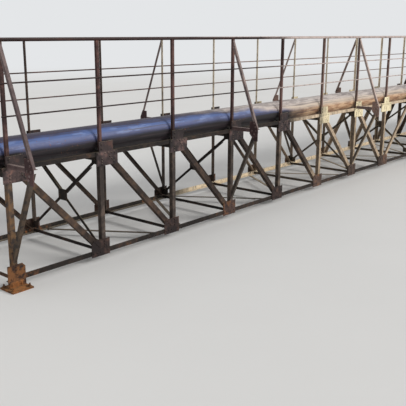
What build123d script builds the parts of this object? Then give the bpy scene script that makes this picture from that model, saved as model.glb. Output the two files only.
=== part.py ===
"""Steel deck-truss footbridge that carries a water pipe along its front side.

Two parallel trusses of single angles stand on bearing shoes. Cross beams join them near the
top, and carry the pipe and a plate walkway beside it. Angle posts with a handrail and two
round rails stand on each truss, and at some nodes an outrigger with an inclined brace and a
strut holds them upright. X runs along the bridge, the front side is -Y, and Z is up from the
seat of the shoes. All sizes are millimetres, and left and right are those of the front view.
"""
import os
from math import sqrt

from build123d import *

# Overall layout: the trusses are measured over their outer faces
panel_length = 1050.0
panels_each_half = 7
truss_spacing = 1160.0
truss_depth = 1035.0
shoe_height = 70.0
outrigger_nodes = (0, 3, 6)
sway_nodes = (1, 3, 6)

# Rolled angles of the trusses
top_chord_leg = 40.0
top_chord_thickness = 5.0
bottom_chord_leg = 50.0
bottom_chord_thickness = 6.0
chord_overhang = 70.0
vertical_leg = 50.0
vertical_thickness = 6.0
diagonal_leg = 55.0
diagonal_thickness = 6.0
web_gap = 3.0

# Where the diagonals' axes cross the middles of the chords, from the nodes
diagonal_head_offset = 70.0
diagonal_foot_offset = 10.0

# Gusset plates, whose tabs above the top chord hold the feet of the posts
gusset_thickness = 8.0
top_gusset_back = 65.0
top_gusset_reach = 210.0
top_gusset_drop = 140.0
tab_back = 30.0
tab_reach = 150.0
tab_height = 98.0
splice_half_length = 185.0
bottom_gusset_back = 70.0
bottom_gusset_reach = 165.0
bottom_gusset_rise = 155.0
bottom_gusset_drop = 15.0
end_gusset_outward = 86.0
end_gusset_inward = 100.0
gusset_corner = 30.0

# Cross beams and bottom bracing
beam_depth = 60.0
beam_flange = 38.0
beam_thickness = 5.0
beam_drop = 35.0
beam_end_gap = 2.0
bottom_strut_leg = 35.0
bottom_strut_thickness = 4.0
lateral_width = 40.0
lateral_thickness = 6.0
lateral_inset = 150.0
first_lateral_panel = 1

# Sway frames
corner_plate_thickness = 6.0
corner_plate_width = 104.0
corner_plate_height = 80.0
corner_plate_gap = 4.0
sway_arm_leg = 30.0
sway_arm_thickness = 4.0
sway_arm_seat = 60.0
sway_arm_middle_gap = 45.0
hub_plate_width = 137.0
hub_plate_height = 118.0
hub_plate_thickness = 6.0

# Water pipe, with an angle on each side of it at every cross beam
pipe_diameter = 273.0
pipe_wall = 6.35
pipe_overhang = 150.0
pipe_clear_of_posts = 5.0
cleat_leg = 40.0
cleat_thickness = 4.0
cleat_gap = 0.3

# Walkway pans
pan_clear_of_pipe = 20.0
pan_clear_of_posts = 30.0
pan_depth = 45.0
pan_thickness = 5.0
pan_joint = 6.0
pan_ribs = 2

# Railings
handrail_height = 1063.0
upper_rail_height = 711.0
lower_rail_height = 436.0
handrail_diameter = 26.9
handrail_wall = 2.6
handrail_overhang = 60.0
rail_bar_diameter = 14.0
rail_bar_overhang = 40.0
post_leg = 30.0
post_thickness = 4.0

# Outriggers that hold the railing posts upright
outrigger_reach = 377.0
outrigger_leg = 40.0
outrigger_thickness = 4.0
outrigger_top = 32.0
brace_leg = 30.0
brace_thickness = 4.0
brace_tip_inset = 8.0
brace_below_handrail = 10.0
tip_plate_thickness = 6.0
tip_plate_width = 115.0
tip_plate_rise = 85.0
tip_plate_lean = 38.0
tip_plate_heel_drop = 15.0
tip_plate_tongue_width = 45.0
tip_plate_tongue_drop = 100.0
strut_leg = 38.0
strut_thickness = 4.0
strut_tip_inset = 20.0
strut_foot_height = 170.0

# Bearing shoes
base_length = 220.0
base_width = 200.0
base_thickness = 16.0
shoe_cleat_leg = 50.0
shoe_cleat_thickness = 6.0
shoe_cleat_length = 150.0
anchor_spacing_x = 170.0
anchor_spacing_y = 150.0
anchor_hole_diameter = 18.0

# Levels and places that follow from the sizes above
half_width = truss_spacing / 2
half_span = panels_each_half * panel_length
chord_floor = shoe_height
top_level = shoe_height + truss_depth
beam_top = top_level - beam_drop
gusset_face = -half_width - gusset_thickness
outrigger_level = top_level + outrigger_top
outrigger_tip = gusset_face - outrigger_reach
pipe_radius = pipe_diameter / 2
pipe_y = -half_width + post_leg + pipe_clear_of_posts + pipe_radius
vertical_foot = chord_floor + bottom_chord_leg + web_gap
vertical_head = top_level - top_chord_leg - web_gap


def node_x(index):
    """Distance along the bridge of truss node number index, counted from the left end."""
    return index * panel_length - half_span


def prism(outline, start, finish, across):
    """A straight bar from start to finish, its section's first axis turned along across."""
    run = Vector(*finish) - Vector(*start)
    section = Plane(origin=start, x_dir=across, z_dir=run) * Polygon(*outline, align=None)
    return extrude(section, amount=run.length, dir=run)


def side_plate(outline, low_y, thickness):
    """A plate upright along the bridge: an outline of x and z, from low_y towards +Y."""
    face = Plane(origin=(0, low_y, 0), x_dir=(1, 0, 0), z_dir=(0, -1, 0)) * Polygon(*outline, align=None)
    return extrude(face, amount=thickness, dir=(0, 1, 0))


def cross_plate(outline, low_x, thickness):
    """A plate upright across the bridge: an outline of y and z, from low_x towards +X."""
    face = Plane(origin=(low_x, 0, 0), x_dir=(0, 1, 0), z_dir=(1, 0, 0)) * Polygon(*outline, align=None)
    return extrude(face, amount=thickness, dir=(1, 0, 0))


def block(low, high):
    """A rectangular block between two opposite corners."""
    size = Vector(*high) - Vector(*low)
    return Pos(*low) * Box(size.X, size.Y, size.Z, align=Align.MIN)


def angle_outline(leg, thickness):
    """Section of an equal angle with its heel at the origin and its legs along both axes."""
    return [(0, 0), (leg, 0), (leg, thickness), (thickness, thickness), (thickness, leg), (0, leg)]


def both_halves(left_pieces, middle_pieces=()):
    """The left half's pieces, those at midspan, and the mirror image of the left half."""
    return [*left_pieces, *middle_pieces, *(mirror(piece, about=Plane.YZ) for piece in left_pieces)]


def save(name, pieces):
    """Writes a node: every solid of its pieces in one STEP file."""
    solids = [solid for piece in pieces for solid in piece.solids()]
    export_step(Compound(children=solids), f"parts/{name}.step")


def save_sides(name, front_pieces):
    """Writes the front node, and its mirror image at the back of the bridge."""
    save(f"front_{name}", front_pieces)
    save(f"back_{name}", [mirror(piece, about=Plane.XZ) for piece in front_pieces])


def top_chord():
    """One long angle: an upright leg outside, and a flat leg on top turned inwards."""
    reach = half_span + chord_overhang
    outline = [(u, -v) for u, v in angle_outline(top_chord_leg, top_chord_thickness)]
    return prism(outline, (-reach, -half_width, top_level), (reach, -half_width, top_level), (0, 1, 0))


def bottom_chord():
    """One long angle: an upright leg outside, and a flat leg below turned inwards."""
    reach = half_span + chord_overhang
    outline = angle_outline(bottom_chord_leg, bottom_chord_thickness)
    return prism(outline, (-reach, -half_width, chord_floor), (reach, -half_width, chord_floor), (0, 1, 0))


def vertical(x):
    """Angle between the chords: one leg in the truss face, one inwards at its outer edge."""
    heel = x - vertical_leg / 2
    outline = angle_outline(vertical_leg, vertical_thickness)
    return prism(outline, (heel, -half_width, vertical_foot), (heel, -half_width, vertical_head), (1, 0, 0))


def diagonal(x):
    """Angle from the top node at x to the next bottom node, cut parallel to the panel's edges."""
    head = Vector(x + diagonal_head_offset, -half_width, top_level - top_chord_leg / 2)
    foot_x = x + panel_length - diagonal_foot_offset
    foot = Vector(foot_x, -half_width, chord_floor + bottom_chord_leg / 2)
    along = (head - foot).normalized()
    across = Vector(along.Z, 0, -along.X)
    heel = across * (-diagonal_leg / 2)
    outline = angle_outline(diagonal_leg, diagonal_thickness)
    bar = prism(outline, tuple(foot + heel), tuple(head + heel), tuple(across))
    side_gap = vertical_leg / 2 + web_gap
    panel = block(
        (x + side_gap, -half_width, vertical_foot),
        (x + panel_length - side_gap, -half_width + diagonal_leg, vertical_head),
    )
    return bar & panel


def top_gusset(x):
    """Plate over a top joint, with a tab above the chord at the foot of the post."""
    low = top_level - top_gusset_drop
    tab_top = top_level + tab_height
    outline = [
        (x - top_gusset_back, low),
        (x + top_gusset_reach, low),
        (x + top_gusset_reach, top_level),
        (x + tab_reach, top_level),
        (x + tab_reach, tab_top),
        (x - tab_back, tab_top),
        (x - tab_back, top_level),
        (x - top_gusset_back, top_level),
    ]
    return side_plate(outline, gusset_face, gusset_thickness)


def splice_gusset(x):
    """Plate over the top joint at midspan, alike on both sides, with its tab in the middle."""
    low = top_level - top_gusset_drop
    tab_top = top_level + tab_height
    half_tab = (tab_back + tab_reach) / 2
    outline = [
        (x - splice_half_length, low),
        (x + splice_half_length, low),
        (x + splice_half_length, top_level),
        (x + half_tab, top_level),
        (x + half_tab, tab_top),
        (x - half_tab, tab_top),
        (x - half_tab, top_level),
        (x - splice_half_length, top_level),
    ]
    return side_plate(outline, gusset_face, gusset_thickness)


def bottom_gusset(x):
    """Plate over a bottom joint that reaches left to the foot of the diagonal there."""
    low = chord_floor - bottom_gusset_drop
    high = chord_floor + bottom_gusset_rise
    outline = [
        (x - bottom_gusset_reach, low),
        (x + bottom_gusset_back, low),
        (x + bottom_gusset_back, high),
        (x - bottom_gusset_reach + gusset_corner, high),
        (x - bottom_gusset_reach, high - gusset_corner),
    ]
    return side_plate(outline, gusset_face, gusset_thickness)


def middle_bottom_gusset(x):
    """Plate over the bottom joint at midspan, where two diagonals meet."""
    low = chord_floor - bottom_gusset_drop
    high = chord_floor + bottom_gusset_rise
    outline = [
        (x - bottom_gusset_reach, low),
        (x + bottom_gusset_reach, low),
        (x + bottom_gusset_reach, high - gusset_corner),
        (x + bottom_gusset_reach - gusset_corner, high),
        (x - bottom_gusset_reach + gusset_corner, high),
        (x - bottom_gusset_reach, high - gusset_corner),
    ]
    return side_plate(outline, gusset_face, gusset_thickness)


def end_gusset(x):
    """Plate at a bottom corner of the truss that stands on the shoe's base plate."""
    high = chord_floor + bottom_gusset_rise
    outline = [
        (x - end_gusset_outward, base_thickness),
        (x + end_gusset_inward, base_thickness),
        (x + end_gusset_inward, high - gusset_corner),
        (x + end_gusset_inward - gusset_corner, high),
        (x - end_gusset_outward, high),
    ]
    return side_plate(outline, gusset_face, gusset_thickness)


def post(x):
    """Railing post: an angle on the chord, one leg in the truss face and one inwards."""
    heel = x - post_leg / 2
    head = top_level + handrail_height - handrail_diameter / 2
    outline = angle_outline(post_leg, post_thickness)
    return prism(outline, (heel, -half_width, top_level), (heel, -half_width, head), (1, 0, 0))


def handrail():
    """Tube that lies on the heads of the posts."""
    length = 2 * (half_span + handrail_overhang)
    radius = handrail_diameter / 2
    tube = Cylinder(radius, length) - Cylinder(radius - handrail_wall, length)
    return Pos(0, post_leg / 2 - half_width, top_level + handrail_height) * Rot(0, 90, 0) * tube


def rail_bar(height):
    """Round bar along the outer faces of the posts."""
    length = 2 * (half_span + rail_bar_overhang)
    bar_y = -half_width - rail_bar_diameter / 2
    return Pos(0, bar_y, top_level + height) * Rot(0, 90, 0) * Cylinder(rail_bar_diameter / 2, length)


def outrigger(x):
    """Angle that reaches out from the gusset: flat leg on top, the other down at its left."""
    heel = x - outrigger_leg / 2
    outline = angle_outline(outrigger_leg, outrigger_thickness)
    tip = (heel, outrigger_tip, outrigger_level)
    return prism(outline, tip, (heel, gusset_face, outrigger_level), (1, 0, 0))


def inclined_angle(left, low, high, leg, thickness):
    """Angle across the bridge between two points of y and z, its heel along their line."""
    start = Vector(left, *low)
    finish = Vector(left, *high)
    spare = (finish - start).normalized() * 2 * leg
    return prism(angle_outline(leg, thickness), tuple(start - spare), tuple(finish + spare), (1, 0, 0))


def railing_brace(x):
    """Stay from the outrigger's tip up to the post, just below the handrail."""
    left = x - outrigger_leg / 2
    low = (outrigger_tip + brace_tip_inset, outrigger_level)
    high = (-half_width, top_level + handrail_height - handrail_diameter / 2 - brace_below_handrail)
    room = block((left, outrigger_tip, outrigger_level), (left + brace_leg, -half_width, high[1]))
    return inclined_angle(left, low, high, brace_leg, brace_thickness) & room


def outrigger_strut(x):
    """Strut from the vertical, just above its bottom gusset, up to the outrigger's tip."""
    left = x - outrigger_leg / 2
    low = (-half_width, chord_floor + strut_foot_height)
    high = (outrigger_tip + strut_tip_inset, outrigger_level - outrigger_leg)
    room = block(
        (left, outrigger_tip, chord_floor),
        (left + strut_leg, -half_width, outrigger_level - outrigger_leg),
    )
    return inclined_angle(left, low, high, strut_leg, strut_thickness) & room


def tip_plate(x):
    """Plate on the left of the outrigger's tip that joins the brace and the strut to it."""
    high = outrigger_level + tip_plate_rise
    underside = outrigger_level - outrigger_leg
    low = underside - tip_plate_tongue_drop
    outer = outrigger_tip
    inner = outer + tip_plate_width
    outline = [
        (outer, outrigger_level),
        (outer, low),
        (outer + tip_plate_tongue_width, low),
        (inner, underside - tip_plate_heel_drop),
        (inner, high),
        (outer + tip_plate_lean, high),
    ]
    return cross_plate(outline, x - outrigger_leg / 2 - tip_plate_thickness, tip_plate_thickness)


def cross_beam(x):
    """Channel across the bridge, its web against the inward legs of two verticals."""
    web = x - vertical_leg / 2 + vertical_thickness
    end_y = half_width - vertical_thickness - beam_end_gap
    low = beam_top - beam_depth
    beam = block((web, -end_y, low), (web + beam_flange, end_y, beam_top))
    hollow = block(
        (web + beam_thickness, -end_y, low + beam_thickness),
        (web + beam_flange, end_y, beam_top - beam_thickness),
    )
    return beam - hollow


def bottom_strut(x):
    """Angle across the bridge that lies on the flat legs of the bottom chords."""
    heel = x - bottom_strut_leg / 2
    level = chord_floor + bottom_chord_thickness
    end_y = half_width - bottom_chord_thickness - beam_end_gap
    outline = angle_outline(bottom_strut_leg, bottom_strut_thickness)
    return prism(outline, (heel, end_y, level), (heel, -end_y, level), (1, 0, 0))


def bottom_lateral(index):
    """Flat bar under the chords of a panel; each slants the other way from the one before."""
    x = node_x(index)
    slant = 1 if (index - first_lateral_panel) % 2 == 0 else -1
    inset_y = slant * (half_width - bottom_chord_leg / 2)
    level = chord_floor - lateral_thickness
    start = Vector(x + lateral_inset, inset_y, level)
    finish = Vector(x + panel_length - lateral_inset, -inset_y, level)
    half = lateral_width / 2
    outline = [(-half, 0), (half, 0), (half, lateral_thickness), (-half, lateral_thickness)]
    sideways = Vector(0, 0, 1).cross(finish - start)
    return prism(outline, tuple(start), tuple(finish), tuple(sideways))


def sway_levels():
    """Lower edges of a sway frame's bottom and top corner plates."""
    return vertical_foot + corner_plate_gap, vertical_head - corner_plate_gap - corner_plate_height


def sway_corner_plates(x):
    """Plates on the inward legs of two verticals, at the four corners of the frame."""
    low_x = x - vertical_leg / 2 - corner_plate_thickness
    outer = half_width - vertical_thickness
    inner = outer - corner_plate_width
    plates = []
    for side in (-1, 1):
        for low in sway_levels():
            high = low + corner_plate_height
            outline = [(side * outer, low), (side * inner, low), (side * inner, high), (side * outer, high)]
            plates.append(cross_plate(outline, low_x, corner_plate_thickness))
    return plates


def sway_middle():
    """Height of the crossing of a sway frame."""
    low, high = sway_levels()
    return (low + high + corner_plate_height) / 2


def sway_arms(x):
    """Four angles of an X, their upright flats lapped on the corner plates' left faces."""
    back = x - vertical_leg / 2 - corner_plate_thickness
    left = back - sway_arm_thickness
    inner = half_width - vertical_thickness - corner_plate_width
    middle = Vector(left, 0, sway_middle())
    half = sway_arm_leg / 2
    flat = [(0, -half), (sway_arm_thickness, -half), (sway_arm_thickness, half), (0, half)]
    rib = [
        (sway_arm_thickness, -half),
        (sway_arm_leg, -half),
        (sway_arm_leg, sway_arm_thickness - half),
        (sway_arm_thickness, sway_arm_thickness - half),
    ]
    arms = []
    for side in (-1, 1):
        for low in sway_levels():
            corner = Vector(left, side * (inner + sway_arm_seat), low + corner_plate_height / 2)
            away = (corner - middle).normalized()
            start = middle + away * sway_arm_middle_gap
            rib_end = corner - away * (2 * sway_arm_seat)
            arm = prism(flat, tuple(start), tuple(corner), (1, 0, 0))
            arms.append(arm + prism(rib, tuple(start), tuple(rib_end), (1, 0, 0)))
    return arms


def sway_hub(x):
    """Plate over the crossing of a sway frame, on the left faces of its arms."""
    left = x - vertical_leg / 2 - corner_plate_thickness - sway_arm_thickness - hub_plate_thickness
    half_y = hub_plate_width / 2
    half_z = hub_plate_height / 2
    middle = sway_middle()
    return block((left, -half_y, middle - half_z), (left + hub_plate_thickness, half_y, middle + half_z))


def water_pipe():
    """Pipe that lies on the cross beams and runs past both ends of the trusses."""
    length = 2 * (half_span + pipe_overhang)
    tube = Cylinder(pipe_radius, length) - Cylinder(pipe_radius - pipe_wall, length)
    return Pos(0, pipe_y, beam_top + pipe_radius) * Rot(0, 90, 0) * tube


def pipe_cleats(x):
    """Two short angles on a cross beam that keep the pipe from rolling."""
    left = x - vertical_leg / 2 + vertical_thickness
    heel_offset = sqrt(pipe_radius ** 2 - (pipe_radius - cleat_leg) ** 2) + cleat_gap
    cleats = []
    for side in (-1, 1):
        outline = [(side * u, v) for u, v in angle_outline(cleat_leg, cleat_thickness)]
        heel = pipe_y + side * heel_offset
        cleats.append(prism(outline, (left, heel, beam_top), (left + beam_flange, heel, beam_top), (0, 1, 0)))
    return cleats


def walkway_pan(index):
    """Plate between two cross beams with its four edges and its ribs turned down on them."""
    near = pipe_y + pipe_radius + pan_clear_of_pipe
    far = half_width - pan_clear_of_posts - post_leg
    left = node_x(index) + pan_joint / 2
    right = node_x(index + 1) - pan_joint / 2
    under = beam_top + pan_depth - pan_thickness
    pan = block((left, near, beam_top), (right, far, beam_top + pan_depth))
    inner_width = far - near - 2 * pan_thickness
    cell_width = (inner_width - pan_ribs * pan_thickness) / (pan_ribs + 1)
    for number in range(pan_ribs + 1):
        cell = near + pan_thickness + number * (cell_width + pan_thickness)
        low = (left + pan_thickness, cell, beam_top)
        pan -= block(low, (right - pan_thickness, cell + cell_width, under))
    return pan


def base_plate(x):
    """Base plate of a bearing shoe, bored for four anchor bolts."""
    middle_y = gusset_face + gusset_thickness / 2
    low = (x - base_length / 2, middle_y - base_width / 2, 0)
    high = (x + base_length / 2, middle_y + base_width / 2, base_thickness)
    plate = block(low, high)
    hole = Cylinder(anchor_hole_diameter / 2, 3 * base_thickness)
    for along in (-1, 1):
        for across in (-1, 1):
            plate -= Pos(x + along * anchor_spacing_x / 2, middle_y + across * anchor_spacing_y / 2, 0) * hole
    return plate


def shoe_cleats(x):
    """Two angles on a base plate, one on each face of the end gusset."""
    start = x - shoe_cleat_length / 2
    finish = x + shoe_cleat_length / 2
    inner = angle_outline(shoe_cleat_leg, shoe_cleat_thickness)
    outer = [(-u, v) for u, v in inner]
    return [
        prism(outer, (start, gusset_face, base_thickness), (finish, gusset_face, base_thickness), (0, 1, 0)),
        prism(inner, (start, -half_width, base_thickness), (finish, -half_width, base_thickness), (0, 1, 0)),
    ]


os.makedirs("parts", exist_ok=True)

left_nodes = [node_x(index) for index in range(panels_each_half)]
middle_node = node_x(panels_each_half)
end_node = left_nodes[0]
braced_nodes = [node_x(index) for index in outrigger_nodes]
swayed_nodes = [node_x(index) for index in sway_nodes]

save_sides("top_chord", [top_chord()])
save_sides("bottom_chord", [bottom_chord()])
save_sides("verticals", both_halves([vertical(x) for x in left_nodes], [vertical(middle_node)]))
save_sides("diagonals", both_halves([diagonal(x) for x in left_nodes]))
save_sides("top_gussets", both_halves([top_gusset(x) for x in left_nodes], [splice_gusset(middle_node)]))
left_bottom_gussets = [end_gusset(end_node), *(bottom_gusset(x) for x in left_nodes[1:])]
save_sides("bottom_gussets", both_halves(left_bottom_gussets, [middle_bottom_gusset(middle_node)]))
save_sides("posts", both_halves([post(x) for x in left_nodes], [post(middle_node)]))
save_sides("handrail", [handrail()])
save_sides("upper_rail", [rail_bar(upper_rail_height)])
save_sides("lower_rail", [rail_bar(lower_rail_height)])
save_sides("outriggers", both_halves([outrigger(x) for x in braced_nodes]))
save_sides("railing_braces", both_halves([railing_brace(x) for x in braced_nodes]))
save_sides("outrigger_struts", both_halves([outrigger_strut(x) for x in braced_nodes]))
save_sides("tip_plates", both_halves([tip_plate(x) for x in braced_nodes]))
save_sides("base_plates", both_halves([base_plate(end_node)]))
save_sides("shoe_cleats", both_halves(shoe_cleats(end_node)))
save("cross_beams", both_halves([cross_beam(x) for x in left_nodes], [cross_beam(middle_node)]))
save("bottom_struts", both_halves([bottom_strut(x) for x in left_nodes], [bottom_strut(middle_node)]))
braced_panels = range(first_lateral_panel, panels_each_half)
save("bottom_laterals", both_halves([bottom_lateral(index) for index in braced_panels]))
save("sway_corner_plates", both_halves([piece for x in swayed_nodes for piece in sway_corner_plates(x)]))
save("sway_arms", both_halves([piece for x in swayed_nodes for piece in sway_arms(x)]))
save("sway_hub_plates", both_halves([sway_hub(x) for x in swayed_nodes]))
save("water_pipe", [water_pipe()])
left_pipe_cleats = [piece for x in left_nodes for piece in pipe_cleats(x)]
save("pipe_cleats", both_halves(left_pipe_cleats, pipe_cleats(middle_node)))
save("walkway_pans", both_halves([walkway_pan(index) for index in range(panels_each_half)]))
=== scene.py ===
"""Look of a steel deck-truss footbridge that carries a water pipe along its front side.

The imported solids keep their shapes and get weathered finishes. Rivets, bolts, nuts, anchor
bolts, weld beads and the raised pattern of the walkway plates are added as numpy surfaces.
All lengths are metres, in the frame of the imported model: X along the bridge, front at -Y.
"""
import math

import bpy
import numpy as np
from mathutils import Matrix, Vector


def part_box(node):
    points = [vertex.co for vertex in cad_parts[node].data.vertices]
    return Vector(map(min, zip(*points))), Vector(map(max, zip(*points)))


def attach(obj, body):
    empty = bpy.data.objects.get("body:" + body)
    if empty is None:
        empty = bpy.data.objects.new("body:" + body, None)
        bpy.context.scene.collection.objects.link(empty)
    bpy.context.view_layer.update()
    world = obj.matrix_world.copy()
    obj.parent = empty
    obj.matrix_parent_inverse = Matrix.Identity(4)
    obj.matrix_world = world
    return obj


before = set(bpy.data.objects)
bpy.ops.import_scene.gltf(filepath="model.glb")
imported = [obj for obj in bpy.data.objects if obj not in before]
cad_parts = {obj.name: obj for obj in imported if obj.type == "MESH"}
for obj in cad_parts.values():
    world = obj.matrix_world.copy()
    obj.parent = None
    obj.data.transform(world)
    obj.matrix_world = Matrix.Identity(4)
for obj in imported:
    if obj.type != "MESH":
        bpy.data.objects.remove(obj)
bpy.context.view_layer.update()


# Places and sizes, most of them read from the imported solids

def lowest(node, axis):
    """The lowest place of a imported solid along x, y or z, to a hundredth of a millimetre."""
    return round(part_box(node)[0]["xyz".index(axis)], 5)


def highest(node, axis):
    """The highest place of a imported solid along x, y or z, to a hundredth of a millimetre."""
    return round(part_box(node)[1]["xyz".index(axis)], 5)


def middle(node, axis):
    """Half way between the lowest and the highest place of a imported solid."""
    return (lowest(node, axis) + highest(node, axis)) / 2


panel_length = 1.05
panels_each_half = 7
node_places = np.arange(-panels_each_half, panels_each_half + 1) * panel_length
left_nodes = node_places[:panels_each_half]
end_node = left_nodes[:1]
inner_nodes = left_nodes[1:]
middle_node = node_places[panels_each_half:panels_each_half + 1]
outrigger_nodes = left_nodes[[0, 3, 6]]
sway_nodes = left_nodes[[1, 3, 6]]
plain_nodes = np.setdiff1d(left_nodes, sway_nodes)

chord_leg = 0.005
web_leg = 0.006
truss_face = highest("back_top_chord", "y")
gusset_face = highest("back_top_gussets", "y")
chord_inner = truss_face - chord_leg
web_inner = truss_face - web_leg
top_level = highest("front_top_chord", "z")
chord_floor = lowest("front_bottom_chord", "z")
outrigger_level = highest("front_outriggers", "z")
base_top = highest("front_base_plates", "z")
pipe_z = middle("water_pipe", "z")
pipe_radius = highest("water_pipe", "z") - pipe_z


# Steps that the finishes share

def tone(red, green, blue):
    """A colour written as on a screen, 0 to 255, changed to the linear values that shaders use."""
    linear = []
    for value in (red, green, blue):
        share = value / 255
        linear.append(share / 12.92 if share <= 0.04045 else ((share + 0.055) / 1.055) ** 2.4)
    return (*linear, 1.0)


def add(tree, kind, sockets=None, **settings):
    """One shader node; a socket given as a value is set, and one given as an output is linked."""
    made = tree.nodes.new(kind)
    for key, value in settings.items():
        setattr(made, key, value)
    for key, value in (sockets or {}).items():
        if isinstance(value, bpy.types.NodeSocket):
            tree.links.new(value, made.inputs[key])
        else:
            made.inputs[key].default_value = value
    return made


def sums(tree, operation, first, second=0.0, third=0.0):
    """The result of one arithmetic step."""
    return add(tree, "ShaderNodeMath", {0: first, 1: second, 2: third}, operation=operation).outputs[0]


def product(tree, first, *others):
    """All the values multiplied together."""
    for other in others:
        first = sums(tree, "MULTIPLY", first, other)
    return first


def weighted(tree, value, weight, rest):
    """A value times its weight, plus the rest."""
    return sums(tree, "MULTIPLY_ADD", value, weight, rest)


def graded(tree, value, start, end):
    """A value that changes smoothly from 0 at the start to 1 at the end."""
    made = add(
        tree,
        "ShaderNodeMapRange",
        {"Value": value, "From Min": start, "From Max": end},
        interpolation_type="SMOOTHSTEP",
    )
    return made.outputs["Result"]


def between(tree, share, first, second):
    """A colour that goes from the first to the second with the share."""
    made = add(tree, "ShaderNodeMix", {0: share, 6: first, 7: second}, data_type="RGBA")
    return made.outputs[2]


def coated(tree, ground, coats):
    """A ground with coats laid over it in their order, each given as (share, colour)."""
    for share, colour in coats:
        ground = between(tree, share, ground, colour)
    return ground


def cloud(tree, place, scale, detail=4.0, roughness=0.55, stretch=None):
    """Soft noise over the object's own coordinates, drawn out along an axis where asked."""
    if stretch is not None:
        place = add(tree, "ShaderNodeMapping", {"Vector": place, "Scale": stretch}).outputs[0]
    sockets = {"Vector": place, "Scale": scale, "Detail": detail, "Roughness": roughness}
    return add(tree, "ShaderNodeTexNoise", sockets).outputs["Fac"]


def new_finish(name):
    """An empty material with its shader and the object's own coordinates."""
    material = bpy.data.materials.new(name)
    material.use_nodes = True
    tree = material.node_tree
    shader = tree.nodes["Principled BSDF"]
    place = add(tree, "ShaderNodeTexCoord").outputs["Object"]
    return material, tree, shader, place


def finish_surface(tree, shader, colour, roughness, shine, relief, relief_strength):
    """Gives the shader its colour, roughness and shine, and bumps it by the relief."""
    tree.links.new(colour, shader.inputs["Base Color"])
    tree.links.new(roughness, shader.inputs["Roughness"])
    shader.inputs["Specular IOR Level"].default_value = shine
    bump = add(tree, "ShaderNodeBump", {"Height": relief, "Strength": relief_strength, "Distance": 0.003})
    tree.links.new(bump.outputs[0], shader.inputs["Normal"])


def worn_edges(tree, width):
    """1 along the corners of a piece and 0 on its flats, from how far a rounded normal turns away."""
    rounded = add(tree, "ShaderNodeBevel", {"Radius": width}, samples=4).outputs[0]
    flat = add(tree, "ShaderNodeNewGeometry").outputs["Normal"]
    agree = add(tree, "ShaderNodeVectorMath", {0: rounded, 1: flat}, operation="DOT_PRODUCT")
    return graded(tree, agree.outputs["Value"], 0.995, 0.80)


def from_the_middle(tree, place):
    """How far along the left half a point lies, with the right half as its mirror, and its height."""
    split = add(tree, "ShaderNodeSeparateXYZ", {0: place})
    away = sums(tree, "ABSOLUTE", split.outputs["X"])
    return sums(tree, "MULTIPLY", away, -1.0), split.outputs["Z"]


def facings(tree):
    """How far a face looks up and how far to the front: dust lies on top, painted sunlight falls on both.
    """
    normal = add(tree, "ShaderNodeNewGeometry").outputs["Normal"]
    parts = add(tree, "ShaderNodeSeparateXYZ", {0: normal}).outputs
    return graded(tree, parts["Z"], 0.3, 0.9), graded(tree, parts["Y"], -0.2, -0.8)


# Finish of the steel

def rust_blooms(tree, broad, mottle, along, height, bloom_share):
    """How strongly rust has bloomed: in scattered patches, and thickly low down at the two ends."""
    patches = product(tree, graded(tree, mottle, 0.53, 0.66), graded(tree, broad, 0.44, 0.62), bloom_share)
    near_ends = graded(tree, along, -7.0, -7.2)
    low_down = graded(tree, height, 1.00, 0.85)
    ends = product(tree, near_ends, low_down, graded(tree, mottle, 0.36, 0.58), 0.8)
    return sums(tree, "MAXIMUM", patches, ends)


def sunlit_share(tree, mottle, runs, upward, forward, spread):
    """How much painted sunlight a face gets: all where it looks up or to the front, the spread
    elsewhere, and less in streaky patches that run down the faces."""
    facing_sun = weighted(tree, sums(tree, "MAXIMUM", upward, forward), 1.0 - spread, spread)
    streak_noise = weighted(tree, runs, 0.5, product(tree, mottle, 0.5))
    sunlight_streaks = weighted(tree, graded(tree, streak_noise, 0.36, 0.54), 0.60, 0.40)
    return product(tree, sunlight_streaks, facing_sun)


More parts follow.
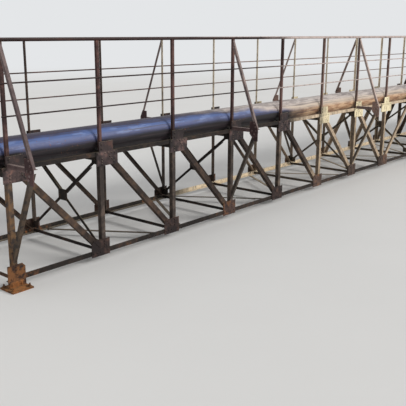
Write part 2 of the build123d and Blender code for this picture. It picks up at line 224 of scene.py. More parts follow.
def weathered_steel(
    name, dark, rust, bloom, pale, painted_sunlight, sunny_from=-3.0, bloom_share=0.4, dust=0.3, spread=0.2
):
    """Old paint gone to rust: dark and rusty mottle, blooms of rust that thicken low down at the two
    ends, painted shade in the band at the height of the pipe outside the painted sunlight, run marks,
    specks of rust, pale specks, worn edges that show paler in the painted sunlight, and dust on top.
    From sunny_from to the middle, and in its mirror image, sunlight is painted in with the pale tone,
    as strongly as the finish asks, on the faces that look to the front and up, and by the spread on
    the others."""
    material, tree, shader, place = new_finish(name)
    along, height = from_the_middle(tree, place)
    upward, forward = facings(tree)
    broad = cloud(tree, place, 2.3, 5.0)
    mottle = cloud(tree, place, 16.0, 6.0, 0.62)
    speck = cloud(tree, place, 85.0, 4.0, 0.6)
    runs = cloud(tree, place, 1.0, 4.0, 0.6, stretch=(26.0, 26.0, 2.2))

    rusted = graded(tree, weighted(tree, broad, 0.55, product(tree, mottle, 0.45)), 0.42, 0.60)
    # Painted sunlight: 0 in the shade at the ends, 1 in the sunlit middle, with a ragged border after
    # sunny_from
    sunny = graded(tree, weighted(tree, broad, 0.8, along), sunny_from + 0.1, sunny_from + 0.9)
    sunlit_faces = product(tree, sunlit_share(tree, mottle, runs, upward, forward, spread), painted_sunlight)
    # Painted shade: darker at the height of the pipe, where the painted sunlight does not reach
    beside_pipe = product(tree, graded(tree, height, 1.09, 1.12), graded(tree, height, 1.26, 1.19))
    painted_shade_by_pipe = product(tree, beside_pipe, weighted(tree, sunny, -0.7, 0.7))
    run_marks = product(tree, graded(tree, runs, 0.56, 0.70), 0.50)
    rust_specks = product(tree, graded(tree, speck, 0.58, 0.72), 0.40)
    # Pale specks scattered over the steel
    pale_specks = product(tree, graded(tree, speck, 0.30, 0.24), 0.35)
    edges = product(tree, worn_edges(tree, 0.003), graded(tree, mottle, 0.35, 0.60))
    lying_dust = product(tree, upward, graded(tree, speck, 0.25, 0.60), dust)
    colour = coated(tree, dark, [
        (rusted, rust),
        (rust_blooms(tree, broad, mottle, along, height, bloom_share), bloom),
        (product(tree, sunny, sunlit_faces), pale),
        (painted_shade_by_pipe, dark),
        (run_marks, dark),
        (rust_specks, rust),
        (pale_specks, pale),
        (product(tree, edges, weighted(tree, sunny, 0.28, 0.12)), pale),
        (lying_dust, pale),
    ])

    roughness = weighted(tree, mottle, 0.35, 0.55)
    relief = weighted(tree, mottle, 1.0, product(tree, speck, 0.55))
    finish_surface(tree, shader, colour, roughness, 0.20, relief, 0.55)
    return material


# Finish of the pipe

def pipe_coating():
    """Coat of the pipe: painted reflection of the sky in blue on its upper side, darker along the top,
    with painted highlights, and painted shade in black-brown below; long dark streaks along it that
    are scratches and painted shadows of the rails; and towards the middle painted sunlight, grey
    above and patchy tan rust below."""
    material, tree, shader, place = new_finish("pipe_coating")
    along, height = from_the_middle(tree, place)
    rise = sums(tree, "DIVIDE", sums(tree, "SUBTRACT", height, pipe_z), pipe_radius)
    broad = cloud(tree, place, 3.0, 5.0)
    fine = cloud(tree, place, 45.0, 5.0, 0.62)
    scratches = cloud(tree, place, 1.0, 5.0, 0.62, stretch=(1.3, 60.0, 60.0))
    ripples = cloud(tree, place, 1.0, 4.0, 0.6, stretch=(4.5, 22.0, 22.0))
    wander = weighted(tree, scratches, 0.35, product(tree, broad, 0.30))
    level = sums(tree, "ADD", rise, sums(tree, "SUBTRACT", wander, 0.325))

    # Painted highlights and the painted blue reflection of the sky on the upper side, darker along the top,
    # and painted shade below
    reflection_highlights = product(tree, graded(tree, ripples, 0.52, 0.64), graded(tree, level, 0.10, 0.45), 0.45)
    shade_and_sky_reflection = coated(tree, tone(32, 28, 31), [
        (graded(tree, level, -0.10, 0.37), tone(70, 80, 124)),
        (graded(tree, level, 0.34, 0.60), tone(80, 101, 151)),
        (reflection_highlights, tone(128, 146, 190)),
        (graded(tree, level, 0.64, 0.92), tone(50, 45, 66)),
    ])
    # Painted sunlight: a grey sheen on the upper side, and tan rust below lit by it
    patches = graded(tree, ripples, 0.42, 0.58)
    tanned = between(tree, patches, tone(166, 126, 98), tone(208, 174, 140))
    sunlit_grey = between(tree, patches, tone(160, 150, 146), tone(196, 186, 180))
    sunlit_pipe = coated(tree, tanned, [
        (graded(tree, level, -0.15, 0.30), tone(196, 179, 162)),
        (graded(tree, level, 0.35, 0.72), sunlit_grey),
    ])
    # How far the painted sunlight reaches, further on the upper side
    above = sums(tree, "MAXIMUM", level, 0.0)
    reach = weighted(tree, above, 2.2, weighted(tree, broad, 1.2, along))
    # Dark streaks along the pipe: scratches, and painted shadows of the rails
    marks = product(tree, graded(tree, scratches, 0.53, 0.64), 0.65)
    flakes = product(tree, graded(tree, fine, 0.60, 0.67), graded(tree, broad, 0.46, 0.58), 0.6)
    colour = coated(tree, shade_and_sky_reflection, [
        (graded(tree, reach, -2.4, -1.3), sunlit_pipe),
        (marks, tone(62, 50, 54)),
        (flakes, tone(118, 78, 56)),
    ])

    roughness = weighted(tree, fine, 0.30, 0.32)
    relief = weighted(tree, scratches, 0.8, product(tree, fine, 0.5))
    finish_surface(tree, shader, colour, roughness, 0.30, relief, 0.40)
    return material


# Finishes of the bridge: in each the four tones are dark paint, rust, bloom of rust and a pale tone for
# painted sunlight, pale specks, worn edges and dust

finishes = {
    "chord_steel": weathered_steel(
        "chord_rust", tone(27, 24, 23), tone(52, 43, 39), tone(104, 76, 56), tone(224, 202, 174),
        painted_sunlight=0.88, sunny_from=-2.85, dust=0.08,
    ),
    "web_steel": weathered_steel(
        "web_rust", tone(44, 36, 32), tone(80, 64, 54), tone(118, 88, 58), tone(218, 194, 166),
        painted_sunlight=0.66, sunny_from=-2.4, dust=0.2, spread=0.35,
    ),
    "gusset_steel": weathered_steel(
        "gusset_rust", tone(42, 36, 37), tone(98, 81, 79), tone(148, 106, 92), tone(242, 228, 190),
        painted_sunlight=1.0, sunny_from=-2.2, bloom_share=0.75,
    ),
    "railing_steel": weathered_steel(
        "railing_paint", tone(52, 35, 34), tone(98, 72, 68), tone(118, 84, 66), tone(158, 134, 122),
        painted_sunlight=0.55, spread=0.45,
    ),
    "outrigger_steel": weathered_steel(
        "outrigger_paint", tone(74, 58, 58), tone(126, 108, 106), tone(122, 84, 68), tone(206, 188, 178),
        painted_sunlight=0.70,
    ),
    "shoe_steel": weathered_steel(
        "shoe_rust", tone(66, 46, 34), tone(112, 76, 48), tone(150, 96, 52), tone(176, 144, 104),
        painted_sunlight=0.3, bloom_share=0.8,
    ),
    "bracing_steel": weathered_steel(
        "bracing_rust", tone(26, 23, 22), tone(50, 42, 38), tone(92, 66, 50), tone(196, 178, 152),
        painted_sunlight=0.6,
    ),
    "deck_steel": weathered_steel(
        "deck_plate", tone(70, 62, 58), tone(112, 96, 86), tone(136, 96, 70), tone(160, 148, 136),
        painted_sunlight=0.5, sunny_from=-7.0,
    ),
    "pipe_steel": pipe_coating(),
}
# Copies of the finishes for single parts: shaded ones with painted shade and almost no painted sunlight,
# sunlit ones with more painted sunlight
shaded_chord_rust = weathered_steel(
    "shaded_chord_rust", tone(30, 26, 24), tone(55, 46, 41), tone(110, 75, 50), tone(112, 94, 80),
    painted_sunlight=0.02, dust=0.08,
)
# Painted shade: the gusset steel with almost no painted sunlight, for the bottom gussets
shaded_plate_rust = weathered_steel(
    "shaded_plate_rust", tone(36, 29, 29), tone(82, 63, 57), tone(126, 84, 50), tone(172, 142, 120),
    painted_sunlight=0.12, bloom_share=0.85, dust=0.1,
)
sunlit_chord_rust = weathered_steel(
    "sunlit_chord_rust", tone(42, 39, 37), tone(74, 66, 60), tone(160, 104, 64), tone(250, 232, 202),
    painted_sunlight=1.0, sunny_from=-3.95, bloom_share=0.8,
)
rail_paint = weathered_steel(
    "rail_paint", tone(34, 20, 20), tone(54, 36, 34), tone(84, 56, 48), tone(210, 192, 185),
    painted_sunlight=0.85, sunny_from=-3.3, dust=0.1,
)
sunlit_post_paint = weathered_steel(
    "sunlit_post_paint", tone(52, 38, 34), tone(98, 80, 70), tone(128, 96, 72), tone(242, 228, 204),
    painted_sunlight=1.0, sunny_from=-4.4, spread=0.8,
)
brace_paint = weathered_steel(
    "brace_paint", tone(84, 71, 71), tone(122, 107, 105), tone(124, 92, 78), tone(214, 194, 184),
    painted_sunlight=0.85, sunny_from=-4.1, spread=0.5,
)
strut_rust = weathered_steel(
    "strut_rust", tone(50, 45, 42), tone(82, 73, 66), tone(88, 72, 58), tone(214, 194, 168),
    painted_sunlight=0.60,
)
upright_rust = weathered_steel(
    "upright_rust", tone(54, 47, 44), tone(96, 83, 75), tone(118, 88, 58), tone(214, 190, 160),
    painted_sunlight=0.64, dust=0.2, spread=0.35,
)
# Painted shade: a darker copy of the outrigger paint for the tip plates
shaded_tip_plate_paint = weathered_steel(
    "shaded_tip_plate_paint", tone(54, 38, 39), tone(90, 68, 68), tone(116, 76, 60), tone(206, 174, 158),
    painted_sunlight=0.65, spread=0.6,
)

# The front bottom chord, the bottom gussets and the tip plates take copies with painted shade; the back
# bottom chord and the back posts copies with painted sunlight
finish_of_node = {
    "front_bottom_chord": shaded_chord_rust,
    "back_bottom_chord": sunlit_chord_rust,
    "front_handrail": rail_paint,
    "front_upper_rail": rail_paint,
    "front_lower_rail": rail_paint,
    "back_handrail": rail_paint,
    "back_posts": sunlit_post_paint,
}
for side_name in ("front", "back"):
    finish_of_node[side_name + "_bottom_gussets"] = shaded_plate_rust
    finish_of_node[side_name + "_verticals"] = upright_rust
    finish_of_node[side_name + "_railing_braces"] = brace_paint
    finish_of_node[side_name + "_outrigger_struts"] = strut_rust
    finish_of_node[side_name + "_tip_plates"] = shaded_tip_plate_paint

for node_name, node_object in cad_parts.items():
    slot_name = node_object.material_slots[0].material.name.split(".")[0]
    node_object.material_slots[0].material = finish_of_node.get(node_name, finishes[slot_name])


# Ways to make the added pieces

def put_in_place(name, points, faces, slot_name, finish=None, smooth=False):
    """A piece of its own from arrays of points and faces, riding on the bridge, in the finish of its
    slot unless it is given another."""
    mesh = bpy.data.meshes.new(name)
    mesh.from_pydata(points.reshape(-1, 3), [], faces)
    mesh.materials.append(finishes[slot_name] if finish is None else finish)
    if smooth:
        mesh.shade_smooth()
    piece = bpy.data.objects.new(name, mesh)
    bpy.context.scene.collection.objects.link(piece)
    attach(piece, "root")


def ringed(name, points, slot_name, finish=None, smooth=False):
    """Equal closed pieces from points[piece, ring, turn]: four-cornered faces join each ring to the
    next one, and a flat polygon closes the first ring and the last."""
    pieces, rings, sides = points.shape[:3]
    here = np.arange(sides)
    after = (here + 1) % sides
    lower = np.arange(rings - 1)[:, None] * sides
    upper = lower + sides
    wall = np.stack([lower + here, lower + after, upper + after, upper + here], axis=-1)
    starts = np.arange(pieces)[:, None] * rings * sides
    walls = wall.reshape(-1, 4) + starts[:, :, None]
    feet = here[::-1] + starts
    crowns = here + (rings - 1) * sides + starts
    faces = walls.reshape(-1, 4).tolist() + feet.tolist() + crowns.tolist()
    put_in_place(name, points, faces, slot_name, finish, smooth)


def crosswise(ways):
    """Two directions square to each way and to each other, right-handed with it."""
    helper = np.where(np.abs(ways[..., 2:]) < 0.9, (0.0, 0.0, 1.0), (1.0, 0.0, 0.0))
    first = np.cross(helper, ways)
    first /= np.linalg.norm(first, axis=-1, keepdims=True)
    return first, np.cross(ways, first)


def circles(ways, sides):
    """Unit circles square to the ways: the point at turn t is first * cos t + second * sin t."""
    first, second = crosswise(ways)
    turns = (np.arange(sides) * 2 * np.pi / sides)[:, None]
    return np.cos(turns) * first[..., None, :] + np.sin(turns) * second[..., None, :]


def turned(name, seats, axis, form, slot_name, finish=None):
    """Equal turned pieces standing on their seats: the point of a piece at turn t and station s is
    seat + axis * height[s] + radius[s] * circle(t), for a form's (radius, height) stations from
    the foot to the crown."""
    axis = np.array(axis, dtype=float)
    radius, height = np.array(form["profile"]).T
    shape = radius[:, None, None] * circles(axis, form["sides"]) + height[:, None, None] * axis
    ringed(name, seats[:, None, None, :] + shape, slot_name, finish, form["smooth"])


def turned_both_ends(name, seats, way, form, slot_name):
    """Turned pieces on faces that look along the bridge, and their mirror images in the right half."""
    turned(name + "_left", seats, (way, 0, 0), form, slot_name)
    turned(name + "_right", seats * (-1, 1, 1), (-way, 0, 0), form, slot_name)


def across_bridge(x, spots):
    """Spots given as (y, z), put at one distance x from a node."""
    return np.insert(np.array(spots, dtype=float), 0, x, axis=1)


def at_height(z, spots):
    """Spots given as (x, y), put at one height z."""
    return np.insert(np.array(spots, dtype=float), 2, z, axis=1)


def along_nodes(spots, nodes):
    """Every spot, given as (x from a node, y, z), repeated at every node."""
    moved = np.repeat(np.array(spots, dtype=float)[None], len(nodes), axis=0)
    moved[:, :, 0] += nodes[:, None]
    return moved.reshape(-1, 3)


def on_truss(face, spots, nodes):
    """Seats at every node of the front truss, from spots given as (x from a node, z), on a face that
    lies so far from the middle of the bridge."""
    return along_nodes(np.insert(np.array(spots, dtype=float), 1, -face, axis=1), nodes)


def mirrored_ends(seats):
    """The seats of the left half together with their mirror images in the right half."""
    return np.concatenate([seats, seats * (-1, 1, 1)])


def on_side(seats, facing):
    """The front's seats, or for the side that faces 1, their mirror images at the back."""
    return seats * (1, -facing, 1)


bridge_sides = (("front", -1), ("back", 1))

# Turned forms, with their (radius, height) stations
rivet = {
    "profile": [(0.0095, -0.0006), (0.0100, 0.0012), (0.0088, 0.0040), (0.0060, 0.0062), (0.0022, 0.0071)],
    "sides": 8,
    "smooth": True,
}
small_rivet = {
    "profile": [(0.0078, -0.0006), (0.0082, 0.0010), (0.0070, 0.0034), (0.0046, 0.0050), (0.0018, 0.0056)],
    "sides": 8,
    "smooth": True,
}
bolt_head = {
    "profile": [(0.0104, -0.0006), (0.0110, 0.0000), (0.0110, 0.0064), (0.0098, 0.0078), (0.0030, 0.0078)],
    "sides": 6,
    "smooth": False,
}
nut = {
    "profile": [(0.0104, -0.0006), (0.0110, 0.0000), (0.0110, 0.0080), (0.0098, 0.0096), (0.0062, 0.0096)],
    "sides": 6,
    "smooth": False,
}
bolt_end = {"profile": [(0.0058, 0.0060), (0.0058, 0.0140), (0.0046, 0.0156)], "sides": 8, "smooth": True}
washer = {
    "profile": [(0.0160, -0.0004), (0.0165, 0.0002), (0.0165, 0.0026), (0.0158, 0.0030)],
    "sides": 20,
    "smooth": True,
}
anchor_nut = {
    "profile": [(0.0134, 0.0030), (0.0139, 0.0036), (0.0139, 0.0145), (0.0125, 0.0160)],
    "sides": 6,
    "smooth": False,
}
thread_pitch = 0.0018
anchor_thread = {
    "profile": [(0.0079, 0.0150)] + [
        (radius, height + thread_pitch * turn)
        for turn in range(9)
        for radius, height in ((0.0080, 0.0162), (0.0071, 0.0171))
    ],
    "sides": 14,
    "smooth": True,
}


# Rivets through the gussets, as (x from the node, z): along the chord, the vertical, the diagonal
top_chord_line = top_level - 0.020
bottom_chord_line = chord_floor + 0.026
vertical_line = 0.003
diagonal_run = 0.700
diagonal_fall = 0.714
top_chord_rivets = [(x, top_chord_line) for x in (-0.046, 0.046, 0.088, 0.130, 0.172)]
top_vertical_rivets = [(vertical_line, top_level - drop) for drop in (0.070, 0.098, 0.126)]
top_diagonal_rivets = [
    (0.070 + diagonal_run * way, top_chord_line - diagonal_fall * way) for way in (0.050, 0.088, 0.126)
]
bottom_chord_rivets = [(x, bottom_chord_line) for x in (-0.142, -0.098, -0.054, 0.046)]
bottom_vertical_rivets = [(vertical_line, z) for z in (0.142, 0.172, 0.202)]
bottom_diagonal_rivets = [
    (-0.010 - diagonal_run * way, 0.095 + diagonal_fall * way) for way in (0.085, 0.120, 0.155)
]

# At the middle node a splice joins the top chords, and two diagonals meet on the bottom gusset
splice_rivets = [
    (x, top_chord_line) for x in (-0.160, -0.118, -0.076, -0.034, 0.034, 0.076, 0.118, 0.160)
]
middle_chord_rivets = [(x, bottom_chord_line) for x in (-0.142, -0.098, -0.054, 0.054, 0.098, 0.142)]
mirrored_diagonal_rivets = [(-x, z) for x, z in bottom_diagonal_rivets]
end_rivets = [(x, bottom_chord_line + 0.006) for x in (-0.050, 0.050)]

top_rivets = top_chord_rivets + top_vertical_rivets + top_diagonal_rivets
bottom_rivets = bottom_chord_rivets + bottom_vertical_rivets + bottom_diagonal_rivets
middle_bottom_rivets = (
    mirrored_diagonal_rivets + middle_chord_rivets + bottom_diagonal_rivets + bottom_vertical_rivets
)
outer_top_seats = np.concatenate([
    mirrored_ends(on_truss(gusset_face, top_rivets, left_nodes)),
    on_truss(gusset_face, splice_rivets + top_vertical_rivets, middle_node),
])
outer_bottom_seats = np.concatenate([
    mirrored_ends(on_truss(gusset_face, bottom_rivets, inner_nodes)),
    mirrored_ends(on_truss(gusset_face, end_rivets + bottom_vertical_rivets, end_node)),
    on_truss(gusset_face, middle_bottom_rivets, middle_node),
])
inner_chord_seats = np.concatenate([
    mirrored_ends(on_truss(chord_inner, top_chord_rivets[1:], left_nodes)),
    on_truss(chord_inner, splice_rivets, middle_node),
    mirrored_ends(on_truss(web_inner, bottom_chord_rivets, inner_nodes)),
])
inner_web_seats = mirrored_ends(np.concatenate([
    on_truss(web_inner, top_diagonal_rivets[1:] + top_vertical_rivets[2:], left_nodes),
    on_truss(web_inner, bottom_diagonal_rivets[1:] + bottom_vertical_rivets[1:], inner_nodes),
]))
tail_seats = np.concatenate([inner_chord_seats, inner_web_seats])
for side_name, facing in bridge_sides:
    outward = (0, facing, 0)
    inward = (0, -facing, 0)
    top_seats = on_side(outer_top_seats, facing)
    bottom_seats = on_side(outer_bottom_seats, facing)
    turned(side_name + "_top_gusset_rivets", top_seats, outward, rivet, "gusset_steel")
    turned(
        side_name + "_bottom_gusset_rivets", bottom_seats, outward, rivet, "gusset_steel", shaded_plate_rust
    )
    turned(side_name + "_rivet_tails", on_side(tail_seats, facing), inward, rivet, "web_steel")


# Rivets of the sway frames: the arms on their hub and corner plates, and the plates on the verticals
hub_face = lowest("sway_hub_plates", "x") - sway_nodes[0]
arm_face = lowest("sway_arms", "x") - sway_nodes[0]
corner_plate_face = lowest("sway_corner_plates", "x") - sway_nodes[0]
corner_plate_height = 0.080
sway_middle_z = middle("sway_corner_plates", "z")
arm_rise = highest("sway_corner_plates", "z") - sway_middle_z - corner_plate_height / 2
arm_corner = np.array([0.530, arm_rise])
arm_reach = np.linalg.norm(arm_corner)
arm_ways = arm_corner / arm_reach * np.array([(-1, -1), (1, -1), (-1, 1), (1, 1)])


def on_four_arms(distances):
    """Spots (y, z) at the given distances from the crossing along each of the four arms."""
    spots = np.array(distances)[:, None, None] * arm_ways
    return spots.reshape(-1, 2) + (0, sway_middle_z)


hub_spots = on_four_arms([0.056, 0.077])
arm_end_spots = on_four_arms([arm_reach - 0.014, arm_reach - 0.042])
corner_plate_spots = [(side * 0.556, z) for side in (-1, 1) for z in (0.145, 0.189, 0.994)]
sway_spots = np.concatenate([
    across_bridge(hub_face, hub_spots),
    across_bridge(arm_face, arm_end_spots),
    across_bridge(corner_plate_face, corner_plate_spots),
])
turned_both_ends("sway_rivets", along_nodes(sway_spots, sway_nodes), -1, small_rivet, "bracing_steel")


# Bolts of the cross beams through the legs of the verticals; a sway plate lies under some heads
beam_web = 0.005
beam_back = lowest("cross_beams", "x") - left_nodes[0] + beam_web
vertical_face = lowest("front_verticals", "x") - left_nodes[0]
beam_spots = [(side * 0.553, z) for side in (-1, 1) for z in (1.022, 1.049)]
heads_on_vertical = across_bridge(vertical_face, beam_spots)
heads_on_plate = across_bridge(corner_plate_face, beam_spots)
nuts_on_beam = across_bridge(beam_back, beam_spots)
beam_heads = np.concatenate([
    along_nodes(heads_on_vertical, plain_nodes),
    along_nodes(heads_on_plate, sway_nodes),
])
beam_nuts = along_nodes(nuts_on_beam, left_nodes)
middle_heads = along_nodes(heads_on_vertical, middle_node)
middle_nuts = along_nodes(nuts_on_beam, middle_node)
turned_both_ends("beam_bolts", beam_heads, -1, bolt_head, "bracing_steel")
turned_both_ends("beam_nuts", beam_nuts, 1, nut, "bracing_steel")
turned_both_ends("beam_bolt_ends", beam_nuts, 1, bolt_end, "bracing_steel")
turned("middle_beam_bolts", middle_heads, (-1, 0, 0), bolt_head, "bracing_steel")
turned("middle_beam_nuts", middle_nuts, (1, 0, 0), nut, "bracing_steel")


# Bolts through the tip plates, as (y, z): two each on the outrigger, its brace and its strut
tip_grip = 0.010
tip_face = lowest("front_tip_plates", "x") - left_nodes[0]
tip_spots = [
    (-0.940, 1.117), (-0.886, 1.117), (-0.931, 1.164), (-0.915, 1.206), (-0.916, 1.077), (-0.900, 1.040),
]
tip_heads = along_nodes(across_bridge(tip_face, tip_spots), outrigger_nodes)
tip_nuts = along_nodes(across_bridge(tip_face + tip_grip, tip_spots), outrigger_nodes)
for side_name, facing in bridge_sides:
    turned_both_ends(side_name + "_tip_bolts", on_side(tip_heads, facing), -1, bolt_head, "outrigger_steel")
    turned_both_ends(side_name + "_tip_nuts", on_side(tip_nuts, facing), 1, nut, "outrigger_steel")


# Bolts through the tabs into the feet of the posts, and through the cleats of the shoes
cleat_leg = 0.006
tab_spots = [(vertical_line, top_level + rise) for rise in (0.028, 0.070)]
cleat_spots = [(x, 0.046) for x in (-0.048, 0.048)]
tab_seats = np.concatenate([
    mirrored_ends(on_truss(gusset_face, tab_spots, left_nodes)),
    on_truss(gusset_face, tab_spots, middle_node),
])
cleat_seats = mirrored_ends(on_truss(gusset_face + cleat_leg, cleat_spots, end_node))
for side_name, facing in bridge_sides:
    outward = (0, facing, 0)
    turned(side_name + "_tab_bolts", on_side(tab_seats, facing), outward, bolt_head, "gusset_steel")
    turned(side_name + "_shoe_bolts", on_side(cleat_seats, facing), outward, bolt_head, "shoe_steel")


# Anchor bolts of the shoes: a washer, a nut and the threaded end above it
base_middle = middle("front_base_plates", "y")
anchor_spots = [(along, base_middle + across) for along in (-0.085, 0.085) for across in (-0.075, 0.075)]
front_anchors = mirrored_ends(along_nodes(at_height(base_top, anchor_spots), end_node))
anchors = np.concatenate([front_anchors, on_side(front_anchors, 1)])
turned("anchor_washers", anchors, (0, 0, 1), washer, "shoe_steel")
turned("anchor_nuts", anchors, (0, 0, 1), anchor_nut, "shoe_steel")
turned("anchor_threads", anchors, (0, 0, 1), anchor_thread, "shoe_steel")


# Bolts of the bottom laterals and struts through the flat legs of the bottom chords
lateral_inset = 0.150
lateral_half_width = 0.555
bolt_from_end = 0.012
strut_leg = 0.004
chord_leg_top = lowest("bottom_struts", "z")
lateral_floor = lowest("bottom_laterals", "z")
lateral_run = np.array([panel_length - 2 * lateral_inset, 2 * lateral_half_width])
lateral_length = np.linalg.norm(lateral_run)
lateral_spots = []
for panel in range(1, panels_each_half):
    slant = 1 if panel % 2 == 1 else -1
    foot = np.array([node_places[panel] + lateral_inset, slant * lateral_half_width])
    way = lateral_run / lateral_length * (1, -slant)
    lateral_spots += [foot + way * place for place in (bolt_from_end, lateral_length - bolt_from_end)]
strut_spots = [(x + 0.005, side * 0.551) for x in left_nodes for side in (-1, 1)]
lower_heads = mirrored_ends(np.concatenate([
    at_height(chord_leg_top, lateral_spots),
    at_height(chord_leg_top + strut_leg, strut_spots),
]))
lower_nuts = mirrored_ends(np.concatenate([
    at_height(lateral_floor, lateral_spots),
    at_height(chord_floor, strut_spots),
]))
turned("lower_bolts", lower_heads, (0, 0, 1), bolt_head, "bracing_steel")
turned("lower_nuts", lower_nuts, (0, 0, -1), nut, "bracing_steel")


# Weld beads

def weld_beads(name, seams, radius, slot_name):
    """Straight beads along seams, each given as (start, end): the point at turn t and station s is
    start + (end - start) * s + radius * swell(s) * circle(t), where swell dips to 0.6 at both
    ends and ripples by a tenth along the bead."""
    stations = 9
    sides = 6
    starts = seams[:, 0]
    runs = seams[:, 1] - starts
    ways = runs / np.linalg.norm(runs, axis=1, keepdims=True)
    share = np.linspace(0, 1, stations)
    swell = 1.0 - 0.4 * np.abs(2 * share - 1) ** 6 + 0.1 * np.cos(np.arange(stations) * np.pi)
    line = starts[:, None, :] + share[:, None] * runs[:, None, :]
    rings = radius * swell[:, None, None] * circles(ways, sides)[:, None]
    ringed(name, line[:, :, None, :] + rings, slot_name, smooth=True)


def seams_at_nodes(seams, nodes):
    """Seams given beside one node as (start, end), repeated at every node."""
    starts, ends = np.array(seams).transpose(1, 0, 2)
    return np.stack([along_nodes(starts, nodes), along_nodes(ends, nodes)], axis=1)


# Welds of a post: two along each thin rail, two under the handrail, and one across its foot
post_half = 0.014
bar_weld = -truss_face - 0.0025
bar_levels = [
    middle(rail, "z") + rise
    for rail in ("front_upper_rail", "front_lower_rail")
    for rise in (-0.0055, 0.0055)
]
tube_weld = middle("front_handrail", "z") - 0.0125
tube_sides = [middle("front_handrail", "y") + offset for offset in (-0.0075, 0.0075)]
foot_weld = top_level + 0.001
post_seams = [((-post_half, bar_weld, z), (post_half, bar_weld, z)) for z in bar_levels]
post_seams += [((-post_half, y, tube_weld), (post_half, y, tube_weld)) for y in tube_sides]
post_seams.append(((-0.0155, -0.578, foot_weld), (-0.0155, -0.551, foot_weld)))
rail_seams = seams_at_nodes(post_seams, node_places)
for side_name, facing in bridge_sides:
    weld_beads(side_name + "_rail_welds", on_side(rail_seams, facing), 0.0030, "railing_steel")

# Welds of the outriggers, struts and braces where they meet the truss and its posts
on_gusset = -gusset_face - 0.001
on_truss_face = -truss_face - 0.001
brace_head = 2.143
root_seams = [
    ((-0.019, on_gusset, outrigger_level), (0.019, on_gusset, outrigger_level)),
    ((-0.020, on_gusset, outrigger_level - 0.039), (-0.020, on_gusset, outrigger_level - 0.002)),
    ((-0.020, on_truss_face, 0.252), (-0.020, on_truss_face, 0.330)),
    ((-0.019, on_truss_face, brace_head), (0.009, on_truss_face, brace_head)),
    ((-0.020, on_truss_face, brace_head - 0.063), (-0.020, on_truss_face, brace_head - 0.005)),
]

# Welds of the shoes: the cleats on the base plate and on the gusset, and the gusset on the base plate
cleat_half = 0.075
cleat_outer = lowest("front_shoe_cleats", "y")
cleat_inner = highest("front_shoe_cleats", "y")
cleat_top = highest("front_shoe_cleats", "z")
cleat_edges = [(cleat_outer, base_top), (cleat_inner, base_top), (-0.590, cleat_top), (-0.578, cleat_top)]
cleat_seams = [((-cleat_half, y, z), (cleat_half, y, z)) for y, z in cleat_edges]
foot_seams = [
    ((start, on_gusset, base_top), (end, on_gusset, base_top))
    for start, end in ((-0.086, -0.076), (0.076, 0.100))
]

outrigger_seams = mirrored_ends(seams_at_nodes(root_seams, outrigger_nodes))
shoe_seams = mirrored_ends(seams_at_nodes(cleat_seams + foot_seams, end_node))
for side_name, facing in bridge_sides:
    weld_beads(side_name + "_outrigger_welds", on_side(outrigger_seams, facing), 0.0038, "outrigger_steel")
    weld_beads(side_name + "_shoe_welds", on_side(shoe_seams, facing), 0.0042, "shoe_steel")


# Raised pattern of the walkway plates

def tread_lozenges(name, centres, slants):
    """Raised lozenges: each is a six-pointed lens, long times across, turned by its slant; its foot
    ring lies just inside the plate and its crown ring, at 0.45 of the size, lies on its height."""
    lens = np.array([(1.0, 0.0), (0.42, 0.85), (-0.42, 0.85), (-1.0, 0.0), (-0.42, -0.85), (0.42, -0.85)])
    lens_x, lens_y = (lens * (0.0135, 0.0044)).T
    cosines = np.cos(slants)[:, None]
    sines = np.sin(slants)[:, None]
    flat = np.stack([lens_x * cosines - lens_y * sines, lens_x * sines + lens_y * cosines], axis=-1)
    foot = np.pad(flat, ((0, 0), (0, 0), (0, 1)), constant_values=-0.0002)
    crown = np.pad(flat * 0.45, ((0, 0), (0, 0), (0, 1)), constant_values=0.0016)
    ringed(name, np.stack([foot, crown], axis=1) + centres[:, None, None, :], "deck_steel")


pan_edge = lowest("walkway_pans", "y")
pan_top = highest("walkway_pans", "z")
tread_pitch = 0.038
tread_rows = np.arange(20)
tread_columns = np.arange(27)
pans, rows, columns = np.meshgrid(node_places[:-1], tread_rows, tread_columns, indexing="ij")
tread_x = pans + (columns * tread_pitch + 0.031)
tread_y = rows * tread_pitch + pan_edge + 0.025
tread_centres = np.stack([tread_x, tread_y, np.full_like(tread_x, pan_top)], axis=-1).reshape(-1, 3)
tread_slants = np.where((rows + columns) % 2 == 0, np.pi / 4, -np.pi / 4).ravel()
tread_lozenges("tread_pattern", tread_centres, tread_slants)


# Camera: left of the front side, a little above the pipe, looking along the bridge
looking_down = 14.291
turned_right = 48.838
camera_data = bpy.data.cameras.new("camera")
camera_data.lens = 58.745
camera_data.sensor_width = 36.0
camera_data.shift_x = 0.035
camera_data.clip_start = 0.05
camera_data.clip_end = 300.0
camera = bpy.data.objects.new("camera", camera_data)
camera.location = (-10.534, -5.416, 2.213)
camera.rotation_euler = (math.radians(90 - looking_down), 0.0, -math.radians(turned_right))
bpy.context.scene.collection.objects.link(camera)
bpy.context.scene.camera = camera


# Floor

studio_air = tone(228, 230, 232)


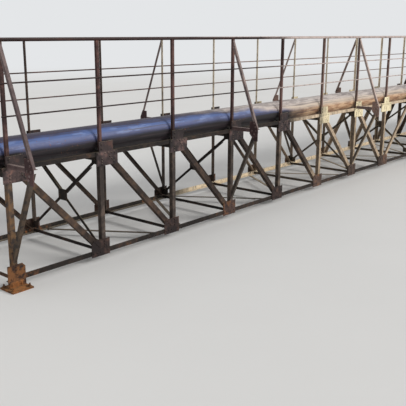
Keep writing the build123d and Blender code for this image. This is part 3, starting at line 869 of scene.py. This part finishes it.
def floor_paint():
    """Pale matt paint that fades into the air of the studio far from the bridge."""
    material, tree, shader, place = new_finish("floor_paint")
    shader.inputs["Roughness"].default_value = 0.9
    shader.inputs["Specular IOR Level"].default_value = 0.1
    grey = between(tree, cloud(tree, place, 0.6, 3.0), tone(224, 224, 223), tone(230, 230, 229))
    tree.links.new(grey, shader.inputs["Base Color"])
    distance = add(tree, "ShaderNodeVectorMath", {0: place}, operation="LENGTH").outputs["Value"]
    horizon = add(tree, "ShaderNodeEmission", {"Color": studio_air, "Strength": 1.0})
    fade = graded(tree, distance, 14.0, 40.0)
    mixed = add(tree, "ShaderNodeMixShader", {0: fade, 1: shader.outputs[0], 2: horizon.outputs[0]})
    tree.links.new(mixed.outputs[0], tree.nodes["Material Output"].inputs["Surface"])
    return material


def pale_floor():
    """Flat round floor: the point of ring r at turn t lies at radius[r], turned by t."""
    sides = 64
    radius = np.array([6.0, 20.0, 90.0])
    turns = np.linspace(0, 2 * np.pi, sides, endpoint=False)
    floor_x = np.outer(radius, np.cos(turns))
    floor_y = np.outer(radius, np.sin(turns))
    points = np.stack([floor_x, floor_y, np.zeros_like(floor_x)], axis=-1)
    here = np.arange(sides)
    after = (here + 1) % sides
    near = np.arange(len(radius) - 1)[:, None] * sides
    far = near + sides
    quads = np.stack([near + here, far + here, far + after, near + after], axis=-1).reshape(-1, 4)
    mesh = bpy.data.meshes.new("floor")
    mesh.from_pydata(points.reshape(-1, 3), [], quads.tolist() + [here.tolist()])
    mesh.materials.append(floor_paint())
    floor = bpy.data.objects.new("floor", mesh)
    bpy.context.scene.collection.objects.link(floor)


pale_floor()


# Light: an even studio, seen as pale air behind the bridge, and one soft lamp from the front right

world = bpy.data.worlds.new("studio")
bpy.context.scene.world = world
world.use_nodes = True
air = world.node_tree
lit = air.nodes["Background"]
lit.inputs["Color"].default_value = (1.0, 1.0, 1.0, 1.0)
lit.inputs["Strength"].default_value = 0.55
seen = add(air, "ShaderNodeBackground", {"Color": studio_air, "Strength": 1.0})
ray = add(air, "ShaderNodeLightPath").outputs
reflected = sums(air, "MAXIMUM", ray["Is Glossy Ray"], ray["Is Transmission Ray"])
direct = sums(air, "MAXIMUM", ray["Is Camera Ray"], reflected)
both = add(air, "ShaderNodeMixShader", {0: direct, 1: lit.outputs[0], 2: seen.outputs[0]})
air.links.new(both.outputs[0], air.nodes["World Output"].inputs["Surface"])

key_data = bpy.data.lights.new("key", "SUN")
key_data.energy = 2.1
key_data.angle = math.radians(22)
key_data.color = (1.0, 0.98, 0.95)
key = bpy.data.objects.new("key", key_data)
key.rotation_euler = (math.radians(62), 0.0, math.radians(36))
bpy.context.scene.collection.objects.link(key)

bpy.context.scene.view_settings.view_transform = "Standard"
